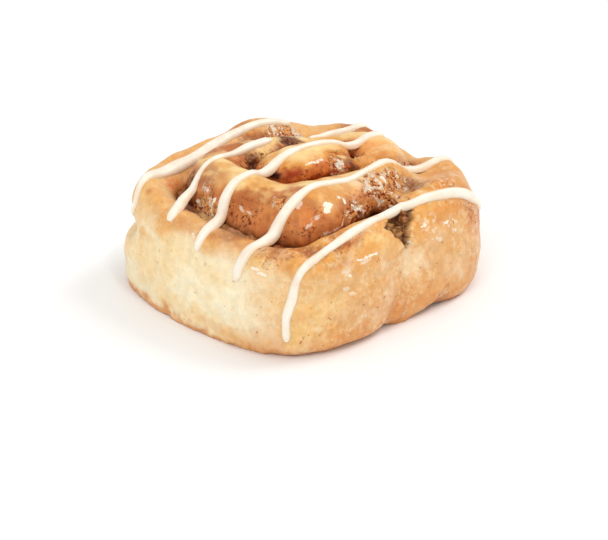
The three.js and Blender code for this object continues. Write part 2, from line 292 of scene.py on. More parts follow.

# The strip's colour over its height, from the bottom of the groove to the crest, for the second turn and
# for the roll's middle; the black brown at the bottom is painted shade
SECOND_COLOURS = (
    (0.0, SHADE_BLACK_BROWN), (0.08, UMBER), (0.25, CINNAMON), (0.48, TOAST), (0.68, CINNAMON), (0.8, TOAST),
    (0.9, AMBER), (1.0, BUTTER),
)
CORE_COLOURS = (
    (0.0, SHADE_BLACK_BROWN), (0.1, UMBER), (0.25, RUST), (0.4, SYRUP), (0.62, SYRUP), (0.8, GOLD),
    (0.95, BUTTER),
)
RIDGE_HEIGHT = 40.5

# Patches of colour: x, y, z, reach sideways, reach up and down, colour, share
PATCHES = [
    # Left corner and the slope behind the first icing line
    (-30, -32, 29, 11, 6, BUTTER, 0.6),
    (-26, -38, 25, 10, 5, AMBER, 0.7),
    (-23.8, -35.4, 30.4, 1.8, 1.5, TOAST, 1),
    (-24.8, -25.8, 29, 6, 4, ORANGE, 1),
    (-19, -25.4, 33.8, 5, 2.6, APRICOT, 0.9),
    (-5.6, -39.5, 28.5, 6, 2.2, TOAST, 0.7),
    (-33, -18, 33, 10, 4.5, TAN, 0.9),
    (-35, 6, 36, 7, 2.4, BROWNED, 0.9),
    (-29, 6, 35, 9, 2.2, GOLD, 0.9),
    (-27.5, 8, 33, 9, 2.6, BROWNED, 1),
    (-27, 19.5, 32, 6, 3, BUTTER, 0.9),
    (-15.5, -10, 39.2, 8, 1.9, BROWNED, 1),
    (-12.6, -4, 37, 6, 2.4, BUTTER, 1),
    (-18.2, -17.5, 39, 5.5, 2.6, CINNAMON, 0.9),
    (-16.2, -13.6, 39.4, 6, 2.4, CINNAMON, 0.9),
    (-3.6, 1.5, 40.2, 3, 1.2, CINNAMON, 0.8),
    (-12, -25, 38.4, 5.5, 2.6, GREY_BROWN, 0.8),
    # Painted shade in the dark hole of the pocket beside the second icing line
    (-24, -23.4, 26.6, 4.4, 3.4, BROWNED, 0.8),
    (-20, -26.5, 28.5, 4.2, 4.2, SHADE_BLACK_BROWN, 1),
    (-16.7, -28.1, 30, 3.4, 5, SHADE_BLACK_BROWN, 1),
    (-12.5, 6.5, 35.3, 8, 2.6, DARK_RUST, 1),
    (-13.7, 9.5, 36.2, 7, 3, DARK_RUST, 1),
    # Second turn, from its left end round to the front
    (-7.8, -20.8, 40, 5, 2, GOLD, 0.9),
    (-8.1, -28, 37, 5, 4.5, GREY_BROWN, 0.8),
    (-11.8, -8, 34.8, 3.8, 3.6, UMBER, 1),
    (-4.6, -9.6, 38, 4.5, 2.6, TAN, 1),
    (-13.5, -29.6, 28, 3, 3.6, UMBER, 1),
    (-3, -31.6, 30, 7, 3.4, AMBER, 1),
    (7.5, -22.5, 39, 10, 1.9, GOLD, 0.8),
    (8.6, -27.4, 36.4, 8, 3.6, CINNAMON, 1),
    (8.6, -27.4, 36.8, 7, 2.6, BROWNED, 0.5),
    (14.3, -22.6, 37.2, 5, 2.4, CINNAMON, 1),
    (15.5, -23, 36.4, 3.6, 1.8, RUST, 0.8),
    (14, -26.4, 34.6, 4, 2.6, TOAST, 0.9),
    (8.2, -31.5, 29, 6, 3, GREY_BROWN, 0.9),
    (13.5, -29.5, 31, 5, 3, CINNAMON, 0.8),
    (6.6, -29, 33.8, 3.8, 4.2, BROWNED, 0.9),
    (15.6, -18, 38.6, 4, 2, CINNAMON, 0.9),
    (21.2, -15.8, 38.4, 6, 2.2, GOLD, 1),
    (22, -19.4, 36.6, 5, 2.6, CINNAMON, 0.8),
    (16.9, -16.6, 38.7, 3.4, 1.7, CINNAMON, 0.9),
    (27.1, -6, 33, 4, 2.8, SYRUP, 0.8),
    (23.5, -9.5, 37.2, 6, 2.2, DEEP_GOLD, 0.8),
    (20.5, -12.5, 38.4, 4.5, 1.6, AMBER_LOW, 0.8),
    (24.6, -21.5, 34, 4.5, 3, ORANGE, 0.8),
    (26.5, -14, 35.5, 5, 3, TAN, 0.85),
    (22.8, -4, 36.4, 6, 3, TAN, 0.9),
    (21.6, 1.5, 37.4, 4, 2.4, PALE, 0.7),
    (27.8, -11, 32.8, 5, 2.8, TOAST, 0.9),
    (28.4, -17, 31.6, 9, 2.4, CINNAMON, 0.9),
    (33, 5.5, 31.6, 3.8, 3.4, UMBER, 1),
    # Painted shadow along the foot of the second turn, over brown crust
    (32.4, -27.4, 28.8, 6, 2.8, BROWNED, 1),
    (28, -29.5, 28.6, 4.5, 2.4, CINNAMON, 0.8),
    # Middle, hump behind it and the saddle to its right
    (3, 2, 40.5, 9, 2, BUTTER, 0.7),
    (4.2, -8, 36.8, 5, 2.8, RUST, 1),
    # Painted shade in the hollow at the right end of the middle
    (9.4, 10.4, 35.6, 3.4, 3.6, DARK_RUST, 1),
    (10.2, 11.4, 34.4, 2.2, 2.8, SHADE_BLACK_BROWN, 1),
    (11, 15.6, 35.6, 6, 3.6, TAN, 1),
    (16.1, 24.9, 35, 5, 3.4, PINK_TAN, 1),
    (5.9, 20.8, 36.8, 8, 5, APRICOT, 1),
    (13, 20.5, 37.6, 6, 3, APRICOT, 0.9),
    # Painted shade in a black gap at the middle's front
    (2, -11.1, 36.2, 2.6, 1.8, SHADE_BLACK_BROWN, 1),
    (9.2, 11.6, 33.6, 3, 2.6, UMBER, 0.9),
    (18.7, 34.9, 32.8, 8, 3.5, TAN, 0.7),
    (-14, 35, 32.5, 14, 4.6, TAN, 1),
    (-9.5, 37, 33.2, 13, 5, CINNAMON, 1),
    (27, 30.5, 33, 7, 3.4, TOAST, 0.7),
    (-11, 21, 34.7, 7, 3, GOLD, 0.9),
    (27.4, 17, 33, 6, 4, DULL_BROWN, 1),
    (34.6, 25, 33.6, 7, 4, TOAST, 0.6),
    (34.2, 21.2, 33.8, 5, 1.8, DEEP_GOLD, 0.9),
    # Front shelf
    (8, -35, 28.6, 16, 2, TOAST, 0.5),
    (12, -38, 26.4, 13, 3.4, DEEP_GOLD, 0.2),
    (9, -32, 28, 8, 1.6, GREY_BROWN, 0.9),
    (24.6, -33.6, 28.8, 10, 2.2, CINNAMON, 0.7),
    # Side at -Y
    (-34, -38, 14, 12, 10, AMBER, 0.6),
    (-17, -43, 15, 14, 9, BUTTER, 0.7),
    (19, -42, 11, 10, 7, CREAM, 0.8),
    (-22, -43, 21, 6, 2.6, GOLD, 0.5),
    (31, -38, 18, 9, 8, AMBER, 0.6),
    (35.7, -35, 8, 6, 6, BUTTER, 0.6),
    (12, -43, 4.4, 12, 3, GOLD, 0.4),
    (-3.7, -43, 22, 9, 5, BUTTER, 0.6),
    (9, -42.6, 20, 10, 4, BUTTER, 0.5),
    (-7, -44.6, 6.6, 12, 5, BUTTER, 0.6),
    (21.8, -38.3, 26.1, 6, 3, BUTTER, 0.6),
    # Side at +X
    (36.9, -18, 30, 8, 2, TOAST, 1),
    (37, -18, 30, 6, 1.2, BROWNED, 0.8),
    (38.6, -9, 29.4, 6, 3, MOTTLE, 0.5),
    (37, -12.6, 30.8, 4.5, 1.4, TOAST, 0.9),
    (39, -8.7, 28.2, 7, 3.2, BUTTER, 1),
    (39, -20.5, 25.6, 7, 1.2, TOAST, 0.9),
    (38.4, -26, 19, 9, 7, AMBER, 0.6),
    (37.3, -32, 12, 9, 10, BUTTER, 0.6),
    (42.2, -6.5, 13, 4, 8, PINK_TAN, 0.6),
    (41.4, -2.5, 6.4, 5, 5.5, TOAST, 0.8),
    (42.2, -13.3, 7.3, 6, 6, PINK_TAN, 0.5),
    (40.5, 4, 18, 6, 6, PALE, 0.8),
    (42.6, 18.5, 13, 6, 4.5, PALE, 0.35),
    (42.4, 6.4, 7, 11, 5, AMBER_LOW, 0.6),
    (38.4, 21, 28, 13, 3.4, AMBER_LOW, 1),
    (39.2, 31.5, 21.5, 6.5, 8, ORANGE, 1),
    (36.2, 30, 29.6, 7, 3, TOAST, 0.8),
    (38.6, 32.4, 25, 6, 3, CINNAMON, 0.9),
    (38, -12, 27.4, 9, 2, GOLD, 0.6),
    (42, 14, 2.6, 5, 1.8, BROWNED, 1),
]

# Torn and dull crumb, and crumb that is soaked with syrup and shines, with painted highlights on it: x, y,
# z, reach
TORN = [(-17.5, -26.5, 32, 4), (-13, 8, 35.5, 5), (-11.8, -8, 34.8, 3.5)]
SYRUPY = [
    (24.5, 5.5, 34.8, 5.5), (28, 7, 33, 5), (24, 13, 35.2, 4.8), (30.5, 6, 31, 3.5),
    (7.2, 7.2, 35.6, 3.6), (27.2, -5, 32.6, 3.2), (28.7, -1, 31.6, 3.4), (-27.5, 15, 33, 5),
    (-27, 20, 32, 5), (-4, -31.6, 29.4, 4), (-9.5, -30.6, 27.6, 4), (28, -7.5, 31, 3), (16, -23.4, 36.4, 3),
]

# Where cinnamon specks lie on the baked crust: x, y, z, reach
SPECKLED = [
    (36.6, -20, 30, 5), (24.6, -33.6, 28.8, 8), (42, 14, 3, 7), (38.2, -12, 30, 4),
    (38.6, 31, 24, 7), (34, 21, 34, 6), (-27.5, 8, 33, 7), (-14, 2, 37, 6), (30, 14, 32, 5),
]

CRUMB_SIZE = 1.9
CRUMB_DEPTH = 0.8

# Whitish smears of thin glaze, some of them spots of painted glints: x, y, z, reach
GLAZE_SMEARS_AND_GLINTS = [
    (13, -26.8, 31.6, 2.6), (-7, -29.5, 35.2, 3), (-3.5, -31, 33, 2.4), (39.4, 12, 25.6, 5),
    (40.5, 19, 24, 4.5), (38.9, -20.5, 22.6, 2.6), (32.6, 24, 33.6, 4), (4.8, 1.5, 38.4, 2),
    (17, -41.5, 22.5, 2.2),
]

# Painted highlights, strokes of light on the glaze: bright ones, and faint ones that are partly thin
# whitish glaze. Pixels of either end in the picture, half width in millimetres
GLINTS = [
    ((203, 193), (207, 188), 0.35),
    ((209, 206), (213, 198), 0.5),
    ((320, 206), (330, 205), 1.1),
    ((322, 213), (326, 208), 1.0),
    ((334, 196), (337, 199), 0.4),
    ((340, 197), (343, 205), 0.4),
    ((339, 226), (341, 217), 0.35),
    ((341, 217), (346, 212), 0.35),
    ((376, 176), (383, 183), 0.8),
    ((375, 204), (382, 201), 0.4),
    ((356, 207), (361, 214), 0.4),
    ((349, 205), (355, 212), 0.45),
    ((352, 262), (378, 252), 0.35),
    ((418, 228), (424, 224), 0.45),
    ((441, 224), (446, 221), 0.4),
    ((452, 229), (454, 232), 0.35),
    ((345, 275), (350, 277), 0.5),
    ((248, 268), (256, 271), 0.5),
    ((254, 273), (263, 276), 0.45),
    ((190, 233), (191, 238), 0.45),
    ((336, 160), (341, 168), 0.5),
    ((303, 165), (320, 160), 0.35),
]
GLAZE_HAZES_AND_HIGHLIGHTS = [
    ((405, 241), (408, 245), 0.5),
    ((236, 206), (241, 213), 0.6),
    ((243, 211), (249, 215), 0.45),
    ((303, 229), (309, 223), 0.5),
    ((312, 221), (317, 215), 0.6),
    ((299, 202), (293, 210), 0.7),
    ((317, 236), (328, 232), 0.35),
    ((328, 232), (338, 227), 0.35),
    ((356, 265), (368, 259), 0.5),
    ((424, 230), (427, 226), 0.4),
    ((433, 238), (440, 240), 0.7),
    ((340, 289), (347, 289), 0.7),
    ((346, 294), (353, 294), 0.5),
]
STROKE_REACH = 3

# Strength of the white surroundings, half the side of the floor in metres, and how white it is
SKY = 0.77
FLOOR_REACH = 3.0
FLOOR_WHITE = (0.92, 0.92, 0.92, 1)

# Soft square lights: name, how far each hangs to the right of the view, towards the camera and up, side, all
# in metres, and power in watts
LIGHTS = [
    ("key", 1.8, -0.8, 2.4, 1.2, 27),
    ("front", -0.9, 2.0, 2.0, 1.2, 19),
    ("spark", 0.9, 1.2, 2.6, 0.3, 8),
]


def along(table, place, column):
    """Values of a table's column at places, smooth through its rows."""
    x, v = table[:, 0], table[:, column]
    place = np.atleast_1d(np.asarray(place, float))
    i = np.clip(np.searchsorted(x, place, side="left") - 1, 0, len(x) - 2)
    after = np.minimum(np.arange(len(x)) + 1, len(x) - 1)
    before = np.maximum(np.arange(len(x)) - 1, 0)
    slope = (v[after] - v[before]) / (x[after] - x[before])
    span = x[i + 1] - x[i]
    t = np.clip((place - x[i]) / span, 0, 1)
    a = (1 + 2 * t) * (1 - t) ** 2
    b = t * (1 - t) ** 2
    c = t * t * (3 - 2 * t)
    d = t * t * (t - 1)
    return a * v[i] + b * span * slope[i] + c * v[i + 1] + d * span * slope[i + 1]


def wall_point(degrees, inset=0.0):
    """Points of the outer wall in directions clockwise from +X."""
    turn = -np.radians(degrees)
    c, s = np.cos(turn), np.sin(turn)
    reach = HALF_SIDE / (abs(c) ** CORNER_POWER + abs(s) ** CORNER_POWER) ** (1 / CORNER_POWER) - inset
    return np.stack([reach * c, reach * s], -1)


def filling_point(place, shift=0.0):
    """Points on the line of the filling, or beside it: a positive shift is towards the outside."""
    def at(p):
        return np.stack([along(FILLING_PATH, p, 1), along(FILLING_PATH, p, 2)], -1)

    ahead = at(np.minimum(place + 0.02, FILLING_END)) - at(np.maximum(place - 0.02, 0))
    ahead /= np.linalg.norm(ahead, axis=-1, keepdims=True)
    aside = np.stack([-ahead[:, 1], ahead[:, 0]], -1)
    return at(place) + aside * np.reshape(shift, (-1, 1))


def half_slot(place):
    closing = np.clip((FILLING_END - place) / 0.3, 0, 1)
    return along(FILLING_PATH, place, 4) / 2 * np.sqrt(closing)


def outer_point(place):
    wall = wall_point(along(WALL, place, 1), along(WALL, place, 2) + along(WALL, place, 3))
    back = np.maximum(place - TURN, 0)
    inside = filling_point(back, -half_slot(back))
    return np.where((place <= TURN)[:, None], wall, inside)


def inner_point(place):
    """Plan points of the strip's inner face, and the ridge's height where the middle has one."""
    out = (place - FILLING_END) / (SPINE_TIP - FILLING_END)
    back = (STRIP_END - place) / (STRIP_END - SPINE_TIP)
    share = np.where(place < SPINE_TIP, out, back)
    spine = np.stack([along(SPINE, share, k) for k in (1, 2, 3)], -1)
    face = filling_point(np.minimum(place, FILLING_END), half_slot(np.minimum(place, FILLING_END)))
    on_spine = (place >= FILLING_END)[:, None]
    return np.where(on_spine, spine[:, :2], face), spine[:, 2]


def smooth(low, high, value):
    """0 at low and 1 at high, with an easy change between them; low may be the larger."""
    t = np.clip((value - low) / (high - low), 0, 1)
    return t * t * (3 - 2 * t)


def lump_rise(x, y):
    def lump(cx, cy, rx, ry, rise):
        return rise * np.exp(-(((x - cx) / rx) ** 2) - ((y - cy) / ry) ** 2)

    return sum(lump(*row) for row in LUMPS)


def groove_height(place):
    return along(FILLING_PATH, np.minimum(place, FILLING_END), 3)


def top_points(place, steps):
    """Rows of points over the top of the strip, from its outer face to its inner one."""
    outer = outer_point(place)
    inner, ridge = inner_point(place)
    on_spine = place >= FILLING_END
    crest = np.where(on_spine, ridge, along(CREST, place, 1))
    middle = np.where(on_spine, 1, along(CREST, place, 2))[:, None]
    outer_edge = np.where(place <= TURN, along(WALL, place, 4), groove_height(np.maximum(place - TURN, 0)))
    inner_edge = np.where(on_spine, crest, groove_height(place))
    k = np.arange(-steps, steps + 1)
    side = np.sin(abs(k) / steps * math.pi / 2)[None, :]
    share = np.where(k < 0, middle * (1 - side), middle + (1 - middle) * side)
    edge = np.where(k < 0, outer_edge[:, None], inner_edge[:, None])
    plan = outer[:, None, :] + (inner - outer)[:, None, :] * share[..., None]
    on_turns = np.where(place > TURN, INNER_ROUNDING, OUTER_ROUNDING)
    steep = np.where(on_spine, CORE_ROUNDING, on_turns)[:, None]
    rounding = (1 - side**2) ** np.where((k < 0)[None, :], steep, np.minimum(steep + 0.1, OUTER_ROUNDING))
    rise = np.where(on_spine[:, None], 0, lump_rise(plan[..., 0], plan[..., 1]))
    z = edge + (crest[:, None] - edge + rise) * rounding
    return np.concatenate([plan, z[..., None]], -1)


def drawn_in(z, foot_inset):
    """How far the wall lies inside its line: the foot draws in and the wall bellies out over it."""
    foot = foot_inset * np.clip(1 - z / FOOT_HEIGHT, 0, 1) ** 2
    belly = BELLY * np.sin(math.pi * np.clip(z / (2 * BELLY_HEIGHT), 0, 1)) ** 0.8
    return foot - belly


def wall_points(place, top_edge, steps):
    """Rows of points up the strip's outer face, from the foot to just under the shoulder."""
    direction, inset, more, shoulder, foot_inset = (along(WALL, place, k) for k in (1, 2, 3, 4, 5))
    rows = []
    shares = (np.arange(steps) / steps) ** 1.3
    for share in shares:
        z = share * shoulder
        shoulder_inset = more * smooth(BELLY_HEIGHT, shoulder, z)
        plan = wall_point(direction, inset + drawn_in(z, foot_inset) + shoulder_inset)
        rows.append(np.concatenate([plan, z[:, None]], -1))
    wall = np.stack(rows, 1)
    # Inside the roll the outer face goes straight down from the groove
    inside = np.repeat(top_edge[:, None, :], steps, 1)
    inside[..., 2] = top_edge[:, None, 2] * shares
    return np.where((place <= TURN)[:, None, None], wall, inside)


def strip_places():
    around = np.linspace(TAIL, TURN, FIRST_STATIONS)
    second = np.linspace(TURN, FILLING_END, SECOND_STATIONS)[1:]
    out = np.linspace(FILLING_END, SPINE_TIP, SPINE_STATIONS)[1:]
    back = np.linspace(SPINE_TIP, STRIP_END, SPINE_STATIONS)[1:]
    return np.concatenate([around, second, out, back])


def strip_rings():
    """The rolled strip as rings of points, with the place of each ring."""
    place = strip_places()
    top = top_points(place, TOP_STEPS)
    wall = wall_points(place, top[:, 0], WALL_STEPS)
    inner_foot = top[:, -1:].copy()
    inner_foot[..., 2] = 0
    return place, np.concatenate([wall, top, inner_foot], 1)


def wall_profile(direction, inset, heights):
    """Points up the outer wall at some heights."""
    rows = []
    for z in heights:
        plan = wall_point(direction, inset + drawn_in(z, SEAL_FOOT))
        rows.append(np.column_stack([plan, np.full(len(direction), z)]))
    return np.stack(rows, 1)


def seal_rings():
    """The wall where the tail is stuck on: it closes the groove where it runs out of the roll."""
    direction = np.linspace(SEAL_FROM, SEAL_TO, SEAL_COLUMNS)
    front = wall_profile(direction, np.full(SEAL_COLUMNS, SEAL_INSET), np.linspace(0, SEAL_TOP, SEAL_ROWS))
    back = wall_point(direction, SEAL_THICKNESS)
    rim = np.stack([np.column_stack([back, np.full(SEAL_COLUMNS, z)]) for z in (SEAL_TOP + 2, 0)], 1)
    return np.concatenate([front, rim], 1)


def heart_rings():
    """A plain block that fills the bottoms of the grooves, far below where the eye gets to."""
    plan = wall_point(np.linspace(0, 360, 73)[:-1], HEART_INSET)
    return np.stack([np.column_stack([plan, np.full(len(plan), z)]) for z in (0.5, HEART_TOP)])


def bulge_rings(x, y, z, rx, ry, rz):
    """An ellipsoid as rings from its lowest point to its highest one."""
    around = np.radians(np.arange(0, 360, 15))
    rings = []
    for up in np.radians(np.linspace(-85, 85, 13)):
        level = math.cos(up)
        ring = [x + rx * level * np.cos(around), y + ry * level * np.sin(around)]
        rings.append(np.column_stack([*ring, np.full(len(around), z + rz * math.sin(up))]))
    return np.array(rings)


def added(name, data):
    """An object in the scene with a mesh, a camera or a light."""
    made = bpy.data.objects.new(name, data)
    bpy.context.collection.objects.link(made)
    return made


def mesh_object(name, points, faces):
    mesh = bpy.data.meshes.new(name)
    mesh.from_pydata(np.asarray(points).tolist(), [], faces)
    mesh.shade_smooth()
    return added(name, mesh)


def ring_faces(rows, columns, start=0):
    """Faces between closed rings, and a cap at either end."""
    faces = []
    for i in range(rows - 1):
        for k in range(columns):
            a = start + i * columns + k
            b = start + i * columns + (k + 1) % columns
            faces.append((a, b, b + columns, a + columns))
    faces.append(tuple(start + k for k in reversed(range(columns))))
    faces.append(tuple(start + (rows - 1) * columns + k for k in range(columns)))
    return faces


def joined(bodies):
    """Points and faces of several ring bodies in one list."""
    points, faces = [], []
    for rings in bodies:
        faces += ring_faces(rings.shape[0], rings.shape[1], sum(len(p) for p in points))
        points.append(rings.reshape(-1, 3))
    return np.concatenate(points), faces


def fused(name, points, faces, voxel):
    """One closed skin round overlapping closed bodies, all in millimetres."""
    rough = mesh_object(name + "_rough", points, faces)
    remesh = rough.modifiers.new("fuse", "REMESH")
    remesh.mode = "VOXEL"
    remesh.voxel_size = voxel
    soften = rough.modifiers.new("soften", "SMOOTH")
    soften.factor = 0.5
    soften.iterations = 3
    graph = bpy.context.evaluated_depsgraph_get()
    mesh = bpy.data.meshes.new_from_object(rough.evaluated_get(graph))
    mesh.name = name
    bpy.data.objects.remove(rough)
    mesh.shade_smooth()
    return added(name, mesh)


def read_vertices(mesh, what="co"):
    flat = np.empty(len(mesh.vertices) * 3, np.float32)
    mesh.vertices.foreach_get(what, flat)
    return flat.reshape(-1, 3).astype(float)


def write_vertices(mesh, points):
    mesh.vertices.foreach_set("co", np.asarray(points, np.float32).ravel())
    mesh.update()


def strip_coordinates(points):
    """For points on the roll: the place along the strip, and the side from -1, outer, to 1, inner."""
    place, rings = strip_rings()
    rows, columns = rings.shape[:2]
    faces = ring_faces(rows, columns)[:-2]
    tree = BVHTree.FromPolygons(rings.reshape(-1, 3).tolist(), faces)
    face = np.array([tree.find_nearest(Vector(p))[2] for p in points])
    column = face % columns
    middle = WALL_STEPS + TOP_STEPS
    x, y, z = points.T
    on_seal = (x > SEAL_X) & (abs(y) < SEAL_Y) & (z < SEAL_TOP + 1)
    where = np.where(on_seal, TAIL, place[face // columns])
    side = np.where(on_seal, -1, np.clip((column - middle) / TOP_STEPS, -1, 1))
    return where, side, on_seal | (column < WALL_STEPS)


def noise_field(points, size, seed=0):
    """Smooth noise from about -1 to 1, with bumps about size across."""
    offset = Vector((seed * 17.3, seed * 5.1, seed * 9.7))
    return np.array([noise.noise(Vector(p) + offset) for p in points / size]) * 1.6


def crumbs(points, broken):
    """How far crumbs stand up where the dough is broken, and 1 in the gaps between them, which get painted
    shade.
    """
    gap = np.ones(len(points))
    for i in np.flatnonzero(broken > 0.02):
        near = noise.voronoi(Vector(points[i] / CRUMB_SIZE))[0]
        gap[i] = min(near[1] - near[0], 0.5) * 2
    rise = np.where(broken > 0.02, gap - 0.5, 0) * CRUMB_DEPTH
    return rise, smooth(0.7, 0.15, gap)


def stroke_places(tree, strokes):
    """The strokes with points of the roll for their pixels. They are seen from an eye PLAN_SHIFT beside the
    camera, where they were first picked."""
    eye = eye_place() + Vector((*PLAN_SHIFT, 0))
    placed = []
    for first, last, half in strokes:
        start, stop = (np.array(ray(tree, eye, view_ray(pixel))) for pixel in (first, last))
        placed.append((start, stop, half))
    return placed


def stroke_field(points, normals, strokes):
    """0.5 on the edge of the nearest stroke, more inside it and less outside it."""
    field = np.zeros(len(points))
    for start, stop, half in strokes:
        run = stop - start
        share = np.clip((points - start) @ run / (run @ run), 0, 1)
        away = points - start - share[:, None] * run
        level = away - normals * np.sum(away * normals, axis=1)[:, None]
        width = half * (1 - 0.8 * (2 * share - 1) ** 2)
        near = np.linalg.norm(away, axis=1) < STROKE_REACH
        field = np.maximum(field, near * (0.5 + (width - np.linalg.norm(level, axis=1)) / 2))
    return np.clip(field, 0, 1)


def blob(points, x, y, z, reach, rise=None, rough=0, inner=0.45, outer=1):
    """1 at a point and 0 beyond its reach."""
    distance = np.linalg.norm((points - (x, y, z)) / (reach, reach, rise or reach), axis=-1)
    return 1 - smooth(inner, outer, distance + rough)


def blobs(points, rows, rough=0):
    return np.max([blob(points, *row, rough=rough) for row in rows], axis=0)


def linear(colour):
    """A colour of the picture, 0 to 255, as the colour of the material."""
    c = np.asarray(colour, float) / 255
    light = np.where(c <= 0.04045, c / 12.92, ((c + 0.055) / 1.055) ** 2.4)
    return np.maximum(light - GLOSS, 0.002) / LIGHT


def blend(base, colour, share):
    share = np.clip(share, 0, 1)[:, None]
    return base * (1 - share) + linear(colour) * share


def paint(mesh, name, values):
    """Stores one number or one colour for each vertex."""
    if values.ndim == 1:
        layer = mesh.attributes.new(name, "FLOAT", "POINT")
        layer.data.foreach_set("value", values.astype(np.float32))
    else:
        layer = mesh.attributes.new(name, "FLOAT_COLOR", "POINT")
        full = np.column_stack([values, np.ones(len(values))])
        layer.data.foreach_set("color", full.astype(np.float32).ravel())


def dough_masks(points, place, side, is_wall):
    """Where the dough is baked, stained, torn, glazed or has painted glints, and painted shade in the
    grooves.
    """
    x, y, z = points.T
    turn = np.degrees(np.arctan2(-y, x))
    first = place < TURN
    inner = side > 0
    floor = np.where(inner, groove_height(place), groove_height(np.maximum(place - TURN, 0)))
    crest = np.where(place < FILLING_END, along(CREST, np.minimum(place, FILLING_END), 1), RIDGE_HEIGHT)
    height = np.clip((z - floor) / np.maximum(crest - floor, 1), -0.2, 1.2)
    coarse = noise_field(points, 9, 1)
    medium = noise_field(points, 4, 2)
    fine = noise_field(points, 1.7, 3)
    ragged = 0.26 * medium + 0.22 * fine + 0.12 * noise_field(points, 0.9, 4)
    on_top = ~is_wall & ~(first & ~inner)
    return dict(
        coarse=coarse, medium=medium, fine=fine, ragged=ragged, height=height,
        towards_x=smooth(0.2, 0.84, np.cos(np.radians(turn + 4)) + 0.1 * coarse + 0.04 * medium),
        crown=smooth(21, 29.5, z + 2 * coarse + medium) * first,
        slope=smooth(0.25, 0.95, side + 0.15 * medium) * first * inner,
        foot=smooth(4.6, 0.4, z + 1.2 * medium + 0.9 * fine),
        second=~first & (place < CORE_START),
        core=place >= CORE_START,
        # Painted shade: darker towards the bottoms of the grooves
        deep=(1 - smooth(0.0, 0.28, height + 0.08 * fine)) * on_top,
        notch=notch_share(points, ragged),
        torn=blobs(points, TORN, ragged),
        syrupy=blobs(points, SYRUPY, ragged),
        speckled=blobs(points, SPECKLED, ragged),
        glaze_and_glints=blobs(points, GLAZE_SMEARS_AND_GLINTS),
    )


def notch_share(points, rough):
    """1 in the torn notch over the stuck tail, 0 outside it."""
    x, y, z = points.T
    middle, half = (np.interp(z, NOTCH[:, 0], NOTCH[:, k]) for k in (1, 2))
    within = smooth(31, 34, x) * smooth(32, 31, z) * (z > NOTCH[0, 0])
    return smooth(1.15, 0.85, abs(y - middle) / half + rough) * within


def ramped(height, colours):
    """The colour at each height of a list of colours with their heights."""
    stops = [stop for stop, _ in colours]
    looks = np.array([linear(colour) for _, colour in colours])
    return np.stack([np.interp(height, stops, looks[:, k]) for k in range(3)], -1)


def patched(points, tint, rough=0):
    for *place, colour, share in PATCHES:
        tint = blend(tint, colour, blob(points, *place, rough=rough, inner=0.1, outer=1.15) * share)
    return tint


def dough_tint(points, masks):
    m = masks
    height = m["height"] + 0.1 * m["medium"] + 0.05 * m["coarse"]
    tint = np.broadcast_to(linear(CREAM), (len(points), 3))
    tint = blend(tint, MOTTLE, smooth(-0.1, 0.8, m["medium"] + 0.5 * m["fine"]) * 0.5)
    tint = blend(tint, BUTTER, smooth(0.1, 0.9, m["coarse"] + 0.3 * m["medium"]) * 0.5)
    tint = blend(tint, TAN, m["towards_x"] * 0.85)
    low = smooth(17, 4, points[:, 2] + 3 * m["coarse"] + 1.5 * m["medium"])
    tint = blend(tint, AMBER_LOW, m["towards_x"] * low * 0.7)
    tint = blend(tint, GOLD, m["crown"] * 0.85)
    tint = blend(tint, TOAST, m["slope"] * 0.6)
    tint = np.where(m["second"][:, None], ramped(height, SECOND_COLOURS), tint)
    tint = np.where(m["core"][:, None], ramped(height, CORE_COLOURS), tint)
    tint = patched(points, tint, m["ragged"])
    tint = blend(tint, AMBER_LOW, m["foot"] * (0.85 - 0.45 * m["towards_x"]))
    tint = blend(tint, TOAST, smooth(0.6, 1, m["foot"]) * 0.6)
    # Painted shade at the bottoms of the grooves
    tint = blend(tint, SHADE_BLACK_BROWN, m["deep"] * 0.7)
    # Painted shade in the gaps between the crumbs
    tint = blend(tint, SHADE_BLACK_BROWN, m["cracks"] * 0.7)
    return tint


def wall_hollows(points):
    """How deep each point lies in the valley under the notch and in the hollows of the walls."""
    x, y, z = points.T
    middle = np.interp(z, VALLEY[:, 0], VALLEY[:, 1])
    across = np.exp(-(((y - middle) / VALLEY_WIDTH) ** 2))
    depth = VALLEY_DEPTH * across * smooth(30, 36, x) * smooth(26, 22, z)
    for cx, cy, cz, reach, rise, deep in HOLLOWS:
        away = ((x - cx) ** 2 + (y - cy) ** 2) / reach**2 + ((z - cz) / rise) ** 2
        depth += deep * np.exp(-away)
    return depth


